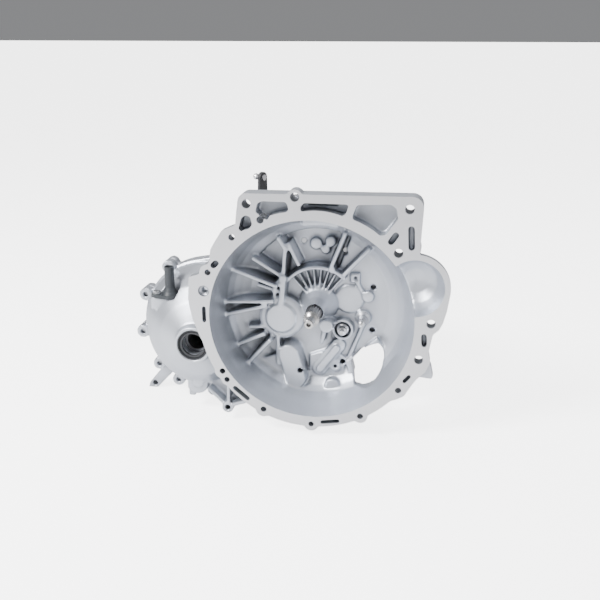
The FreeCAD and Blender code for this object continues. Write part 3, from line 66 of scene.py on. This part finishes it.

# %% [markdown]
# Two effects are used by nearly every finish here, so each is a node group. The first is the
# fine, dull grain that bead blasting or rough handling leaves, together with the slow cloudy
# change of tone that no real surface is without. The second finds sharp edges, hollows and
# sheltered places: edges are rubbed bright as wear, hollows and sheltered places get painted shade.

# %% helpers for shader nodes
def add_node(tree, kind, **settings):
    made = tree.nodes.new(kind)
    for name, value in settings.items():
        if hasattr(made, name):
            setattr(made, name, value)
        else:
            made.inputs[name.replace("_", " ")].default_value = value
    return made


def new_group(name, inputs, outputs):
    tree = bpy.data.node_groups.new(name, "ShaderNodeTree")
    for socket, value in inputs.items():
        made = tree.interface.new_socket(socket, in_out="INPUT", socket_type="NodeSocketFloat")
        made.default_value = value
    for socket, kind in outputs.items():
        tree.interface.new_socket(socket, in_out="OUTPUT", socket_type=kind)
    return tree, tree.nodes.new("NodeGroupInput"), tree.nodes.new("NodeGroupOutput")


def maths(tree, operation, first, second=None):
    made = add_node(tree, "ShaderNodeMath", operation=operation)
    for index, value in enumerate((first, second)):
        if value is None:
            continue
        if hasattr(value, "is_linked"):
            tree.links.new(value, made.inputs[index])
        else:
            made.inputs[index].default_value = value
    return made.outputs[0]


def ramp(tree, source, *stops):
    made = tree.nodes.new("ShaderNodeValToRGB")
    while len(made.color_ramp.elements) < len(stops):
        made.color_ramp.elements.new(0.5)
    for element, (place, tone) in zip(made.color_ramp.elements, stops):
        element.position = place
        element.color = (tone, tone, tone, 1) if isinstance(tone, (int, float)) else (*tone, 1)
    tree.links.new(source, made.inputs[0])
    return made.outputs[0]

# %% grain and cloud
def make_grain_group():
    tree, given, result = new_group("grain_and_cloud", {"Grain Size": 0.0006, "Cloud Size": 0.05},
                                    {"Grain": "NodeSocketFloat", "Cloud": "NodeSocketFloat"})
    place = tree.nodes.new("ShaderNodeTexCoord").outputs["Object"]
    for label, size, detail, output in (("grain", "Grain Size", 3, "Grain"),
                                        ("cloud", "Cloud Size", 4, "Cloud")):
        noise = add_node(tree, "ShaderNodeTexNoise", label=label)
        noise.inputs["Detail"].default_value = detail
        tree.links.new(place, noise.inputs["Vector"])
        tree.links.new(maths(tree, "DIVIDE", 1.0, given.outputs[size]), noise.inputs["Scale"])
        tree.links.new(noise.outputs["Fac"], result.inputs[output])
    return tree


def make_edge_group():
    tree, given, result = new_group("edges_and_painted_shade", {"Sharpness": 8.0, "Reach": 0.03},
                                    {"Edge": "NodeSocketFloat", "Crease Shade": "NodeSocketFloat",
                                     "Painted Shade": "NodeSocketFloat"})
    point = tree.nodes.new("ShaderNodeNewGeometry").outputs["Pointiness"]
    raised = maths(tree, "MULTIPLY", maths(tree, "SUBTRACT", point, 0.5), given.outputs["Sharpness"])
    # Painted shade: hollows that pointiness finds are darkened in the base colour; raised edges are
    # rubbed bright as wear
    for output, value in (("Edge", raised), ("Crease Shade", maths(tree, "MULTIPLY", raised, -1.0))):
        clamp = tree.nodes.new("ShaderNodeClamp")
        tree.links.new(value, clamp.inputs[0])
        tree.links.new(clamp.outputs[0], result.inputs[output])
    # Painted shade: ambient occlusion finds the sheltered places, and the base colour is darkened there
    occlusion_shade = add_node(tree, "ShaderNodeAmbientOcclusion", samples=6)
    tree.links.new(given.outputs["Reach"], occlusion_shade.inputs["Distance"])
    tree.links.new(maths(tree, "SUBTRACT", 1.0, occlusion_shade.outputs["AO"]), result.inputs["Painted Shade"])
    return tree


GRAIN = make_grain_group()
EDGES = make_edge_group()
print("node groups:", [group.name for group in (GRAIN, EDGES)])

# %% [markdown]
# A finish is made from one recipe: a base colour that drifts with the cloud, a roughness that drifts
# the other way, painted shade in hollows and sheltered places, rubbed edges, a shallow grain bump.
# One function keeps the finishes alike in build and lets each have its own values.

# %% the recipe for a finish
def finish(name, colour, metallic, roughness, grain=0.0006, bump=0.06, cloud=0.05, drift=0.08,
           edge=0.12, crease_shade=0.3, coat=0.0, painted_shade=0.35):
    material = bpy.data.materials.new(name)
    material.use_nodes = True
    tree = material.node_tree
    shader = tree.nodes["Principled BSDF"]
    shader.inputs["Metallic"].default_value = metallic
    shader.inputs["Coat Weight"].default_value = coat
    grains = tree.nodes.new("ShaderNodeGroup")
    grains.node_tree = GRAIN
    grains.inputs["Grain Size"].default_value = grain
    grains.inputs["Cloud Size"].default_value = cloud
    wear_and_shade = tree.nodes.new("ShaderNodeGroup")
    wear_and_shade.node_tree = EDGES
    tone = ramp(tree, grains.outputs["Cloud"], (0.3, tuple(c * (1 - drift) for c in colour)),
                (0.7, tuple(min(1, c * (1 + drift)) for c in colour)))
    # Painted shade: the base colour darkens in sheltered places and in hollows; the edges are lightened
    # as wear
    for output, factor, target in (("Painted Shade", painted_shade, tuple(c * 0.2 for c in colour)),
                                   ("Crease Shade", crease_shade, tuple(c * 0.3 for c in colour)),
                                   ("Edge", edge, tuple(min(1, c * 1.25 + 0.08) for c in colour))):
        blend = add_node(tree, "ShaderNodeMix", data_type="RGBA")
        tree.links.new(maths(tree, "MULTIPLY", wear_and_shade.outputs[output], factor), blend.inputs["Factor"])
        tree.links.new(tone, blend.inputs["A"])
        blend.inputs["B"].default_value = (*target, 1)
        tone = blend.outputs["Result"]
    tree.links.new(tone, shader.inputs["Base Color"])
    rough = add_node(tree, "ShaderNodeMapRange")
    tree.links.new(grains.outputs["Cloud"], rough.inputs["Value"])
    rough.inputs["To Min"].default_value = roughness * 1.15
    rough.inputs["To Max"].default_value = roughness * 0.85
    tree.links.new(rough.outputs["Result"], shader.inputs["Roughness"])
    relief = tree.nodes.new("ShaderNodeBump")
    relief.inputs["Strength"].default_value = bump
    relief.inputs["Distance"].default_value = 0.001
    tree.links.new(grains.outputs["Grain"], relief.inputs["Height"])
    tree.links.new(relief.outputs["Normal"], shader.inputs["Normal"])
    return material


FINISHES = {
    "shaft_steel": finish("ground_shaft_steel", (0.60, 0.59, 0.58), 1.0, 0.28, drift=0.05, bump=0.03),
    "gear_steel": finish("oiled_gear_steel", (0.46, 0.46, 0.47), 1.0, 0.33, bump=0.04),
    "cast_iron_grey": finish("machined_cast_iron", (0.26, 0.26, 0.27), 0.9, 0.5),
    "bearing_steel": finish("polished_bearing_steel", (0.64, 0.64, 0.66), 1.0, 0.2, bump=0.02),
    "seal_rubber": finish("black_seal_rubber", (0.035, 0.037, 0.042), 0.0, 0.42, bump=0.05, edge=0.1),
    "stud_steel": finish("plated_stud_steel", (0.68, 0.68, 0.70), 1.0, 0.3),
    "sensor_plastic": finish("moulded_sensor_plastic", (0.035, 0.04, 0.046), 0.0, 0.5, edge=0.2),
    "lever_black": finish("black_lever_paint", (0.022, 0.023, 0.026), 0.0, 0.38, edge=0.3, coat=0.25),
    "bolt_zinc": finish("zinc_plated_bolts", (0.62, 0.63, 0.65), 1.0, 0.34, drift=0.12),
    "switch_body": finish("brass_switch_body", (0.55, 0.43, 0.20), 1.0, 0.38),
}
print("finishes:", len(FINISHES))

# %% [markdown]
# The castings are aluminium, blasted with fine beads after they were machined, so they are pale
# and satin all over. The face that bolts to the engine and the bores are smoother and brighter
# than the cast skin. A mask finds the face by where it is and which way it faces, because that
# is how a milling cutter finds it too.

# %% cast aluminium
def make_machined_group():
    tree, given, result = new_group("machined_faces", {"Depth": 0.0005},
                                    {"Mask": "NodeSocketFloat", "Marks": "NodeSocketFloat"})
    geometry = tree.nodes.new("ShaderNodeNewGeometry")
    place = tree.nodes.new("ShaderNodeTexCoord").outputs["Object"]
    parts = tree.nodes.new("ShaderNodeSeparateXYZ")
    tree.links.new(place, parts.inputs[0])
    facing = tree.nodes.new("ShaderNodeSeparateXYZ")
    tree.links.new(geometry.outputs["Normal"], facing.inputs[0])
    ahead = maths(tree, "LESS_THAN", parts.outputs["Y"], given.outputs["Depth"])
    square = maths(tree, "LESS_THAN", facing.outputs["Y"], -0.9)
    tree.links.new(maths(tree, "MULTIPLY", ahead, square), result.inputs["Mask"])
    wave = add_node(tree, "ShaderNodeTexWave", wave_type="RINGS", rings_direction="Y")
    wave.inputs["Scale"].default_value = 260
    wave.inputs["Distortion"].default_value = 0.6
    shift = add_node(tree, "ShaderNodeVectorMath", operation="ADD")
    tree.links.new(place, shift.inputs[0])
    shift.inputs[1].default_value = (0.35, 0, 0.12)
    tree.links.new(shift.outputs[0], wave.inputs["Vector"])
    tree.links.new(wave.outputs["Fac"], result.inputs["Marks"])
    return tree


MACHINED = make_machined_group()


def cast_aluminium():
    # Strong painted shade: the hollows and sheltered places of the casting are darkened in the base
    # colour
    material = finish("cast_aluminium", (0.66, 0.69, 0.75), 0.85, 0.42,
                      grain=0.0009, bump=0.16, cloud=0.07,
                      drift=0.05, edge=0.35, crease_shade=0.5, painted_shade=0.8)
    tree = material.node_tree
    shader = tree.nodes["Principled BSDF"]
    milled = tree.nodes.new("ShaderNodeGroup")
    milled.node_tree = MACHINED
    for socket, target in (("Base Color", (0.74, 0.745, 0.77, 1)), ("Roughness", 0.36)):
        before = shader.inputs[socket].links[0].from_socket
        kind = "RGBA" if socket == "Base Color" else "FLOAT"
        blend = add_node(tree, "ShaderNodeMix", data_type=kind)
        number = {"RGBA": (6, 7, 2), "FLOAT": (2, 3, 0)}[kind]
        tree.links.new(milled.outputs["Mask"], blend.inputs[0])
        tree.links.new(before, blend.inputs[number[0]])
        blend.inputs[number[1]].default_value = target
        tree.links.new(blend.outputs[number[2]], shader.inputs[socket])
    return material


FINISHES["cast_aluminium"] = cast_aluminium()
print("cast finish made")

# %% [markdown]
# Cast metal has no sharp corner: the sand or die rounds every edge and fills every inside
# corner. The skin of a casting is made the way a foundry would think of it. The solid is
# rebuilt as a fine even net, which softens it all over, and then the face that bolts to the
# engine is cut flat again, so that it stays crisp. The softening also narrows the flange's drilled
# holes, so the net is drawn back on to their walls, as the drill would open them.

# %% soften a casting
# The flange's drilled holes in millimetres: X, Z and radius
FLANGE_HOLES = ((-90.7, 170, 6.5), (-22, 181.7, 6.5), (136.4, 170, 6.5), (-112.8, 121.1, 4.8),
                (-71.1, 148, 5.3), (123.3, 108.2, 6.5), (-149.8, 67.6, 4.6), (-156.8, 39.1, 4.6),
                (-132.1, -85.4, 4.6), (-125.5, -98.7, 4.3), (-70.1, -143.3, 4.6), (2.5, -162, 4.3),
                (75.8, -143.3, 4.6), (130.2, -97.4, 4.6), (157.5, -47.7, 6.5), (172.5, 7.5, 6.5))
MILLIMETRE = 0.001
# How far from a drilled wall, and how deep behind the flange's face, the net is drawn back
CUTTER_REACH = 0.0022
CUTTER_DEPTH = 0.012


def cut_back(skin, source, holes):
    """The net is drawn back on to the drilled walls, so that each hole has its own radius."""
    near = []
    for vertex in skin.data.vertices:
        for x, z, radius in holes:
            away = math.hypot(vertex.co.x - x * MILLIMETRE, vertex.co.z - z * MILLIMETRE)
            if abs(away - radius * MILLIMETRE) < CUTTER_REACH and vertex.co.y < CUTTER_DEPTH:
                near.append(vertex.index)
                break
    skin.vertex_groups.new(name="drilled").add(near, 1.0, "REPLACE")
    drill = skin.modifiers.new("drill", "SHRINKWRAP")
    drill.target = source
    drill.wrap_method = "NEAREST_SURFACEPOINT"
    drill.vertex_group = "drilled"
    graph = bpy.context.evaluated_depsgraph_get()
    made = bpy.data.meshes.new_from_object(skin.evaluated_get(graph))
    skin.modifiers.clear()
    skin.data = made
    print("drawn back on to drilled walls:", len(near), "points")


def cast_skin(node, voxel, rounds, keep, allowance=0.004, face=None, holes=()):
    source = NODES[node]
    mesh = source.data.copy()
    skin = bpy.data.objects.new(node + "_cast_skin", mesh)
    bpy.context.scene.collection.objects.link(skin)
    skin.matrix_world = source.matrix_world
    mesh.materials.clear()
    if face is not None:
        for vertex in mesh.vertices:
            if abs(vertex.co.y - face) < 1e-5:
                vertex.co.y -= allowance
    remesh = skin.modifiers.new("net", "REMESH")
    remesh.mode = "VOXEL"
    remesh.voxel_size = voxel
    smooth = skin.modifiers.new("soften", "SMOOTH")
    smooth.factor = 0.5
    smooth.iterations = rounds
    thin = skin.modifiers.new("thin_out", "DECIMATE")
    thin.ratio = keep
    graph = bpy.context.evaluated_depsgraph_get()
    made = bpy.data.meshes.new_from_object(skin.evaluated_get(graph))
    skin.modifiers.clear()
    skin.data = made
    if face is not None:
        for vertex in made.vertices:
            vertex.co.y = max(vertex.co.y, face)
    if holes:
        cut_back(skin, source, holes)
        made = skin.data
    made.materials.clear()
    made.materials.append(FINISHES["cast_aluminium"])
    made.shade_smooth()
    made.set_sharp_from_angle(angle=math.radians(50))
    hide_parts(node)
    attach(skin, BODY_OF[node])
    return skin


VOXEL = 0.0017
KEEP = 0.27
skins = [cast_skin("clutch_housing", VOXEL, 3, KEEP, face=0.0, holes=FLANGE_HOLES),
         cast_skin("transaxle_case", VOXEL * 1.2, 3, KEEP), cast_skin("rear_cover", VOXEL * 1.2, 2, KEEP)]
for skin in skins:
    print(skin.name, "triangles:", sum(len(face.vertices) - 2 for face in skin.data.polygons))

# %% [markdown]
# The other solids keep their own shape. A narrow bevel takes the unreal sharpness off their
# edges and gives the light a line to catch.

# %% dress the other nodes
for node, thing in NODES.items():
    if SLOT_OF[node] == "cast_aluminium":
        continue
    thing.data.materials.clear()
    thing.data.materials.append(FINISHES[SLOT_OF[node]])
    bevel = thing.modifiers.new("eased_edges", "BEVEL")
    bevel.width = 0.0004
    bevel.segments = 2
    bevel.limit_method = "ANGLE"
    bevel.angle_limit = math.radians(35)
    bevel.use_clamp_overlap = True
print("dressed nodes:", len(NODES) - len(skins))

# %% [markdown]
# The floor is a wide pale sheet at the lowest point of the gearbox. The light is that of a small
# photo studio: a large soft lamp high on the left, a weaker one on the right, and a pale room.

# %% floor, lights and camera
def stage_floor(level):
    mesh = bpy.data.meshes.new("floor")
    corners = [(-20, -20, level), (20, -20, level), (20, 30, level), (-20, 30, level)]
    mesh.from_pydata(corners, [], [(0, 1, 2, 3)])
    floor = bpy.data.objects.new("floor", mesh)
    bpy.context.scene.collection.objects.link(floor)
    material = bpy.data.materials.new("pale_floor")
    material.use_nodes = True
    shader = material.node_tree.nodes["Principled BSDF"]
    shader.inputs["Base Color"].default_value = (0.93, 0.93, 0.935, 1)
    shader.inputs["Roughness"].default_value = 0.9
    shader.inputs["Emission Color"].default_value = (1, 1, 1, 1)
    path = material.node_tree.nodes.new("ShaderNodeLightPath")
    glow = maths(material.node_tree, "MULTIPLY", path.outputs["Is Camera Ray"], 4.0)
    material.node_tree.links.new(glow, shader.inputs["Emission Strength"])
    mesh.materials.append(material)


def soft_lamp(name, place, target, size, power, colour=(1, 1, 1)):
    data = bpy.data.lights.new(name, "AREA")
    data.shape = "DISK"
    data.size = size
    data.energy = power
    data.color = colour
    lamp = bpy.data.objects.new(name, data)
    lamp.location = place
    lamp.rotation_euler = (Vector(target) - Vector(place)).to_track_quat("-Z", "Y").to_euler()
    bpy.context.scene.collection.objects.link(lamp)


stage_floor(cad_box[0][2] - 0.0005)
soft_lamp("key_lamp", (-1.3, -1.1, 1.5), (0, 0.05, 0), 0.7, 96)
soft_lamp("fill_lamp", (1.2, -1.6, 0.3), (0, 0, 0), 0.8, 7)
soft_lamp("top_lamp", (0.2, 0.4, 2.0), (0, 0.1, 0), 1.6, 30)
world = bpy.data.worlds.new("pale_room")
bpy.context.scene.world = world
world.use_nodes = True
world.node_tree.nodes["Background"].inputs["Color"].default_value = (0.96, 0.97, 1.0, 1)
world.node_tree.nodes["Background"].inputs["Strength"].default_value = 0.27

camera_data = bpy.data.cameras.new("camera")
camera_data.lens = 50
camera_data.sensor_width = 36
camera = bpy.data.objects.new("camera", camera_data)
bpy.context.scene.collection.objects.link(camera)
TARGET = Vector((-0.0143, 0, 0.0332))
azimuth, elevation, distance = math.radians(9.6), math.radians(18.3), 1.193
away = Vector((math.sin(azimuth) * math.cos(elevation), -math.cos(azimuth) * math.cos(elevation),
               math.sin(elevation)))
camera.location = TARGET + distance * away
camera.rotation_euler = (TARGET - camera.location).to_track_quat("-Z", "Y").to_euler()
bpy.context.scene.camera = camera
print("camera at", [round(value, 4) for value in camera.location])
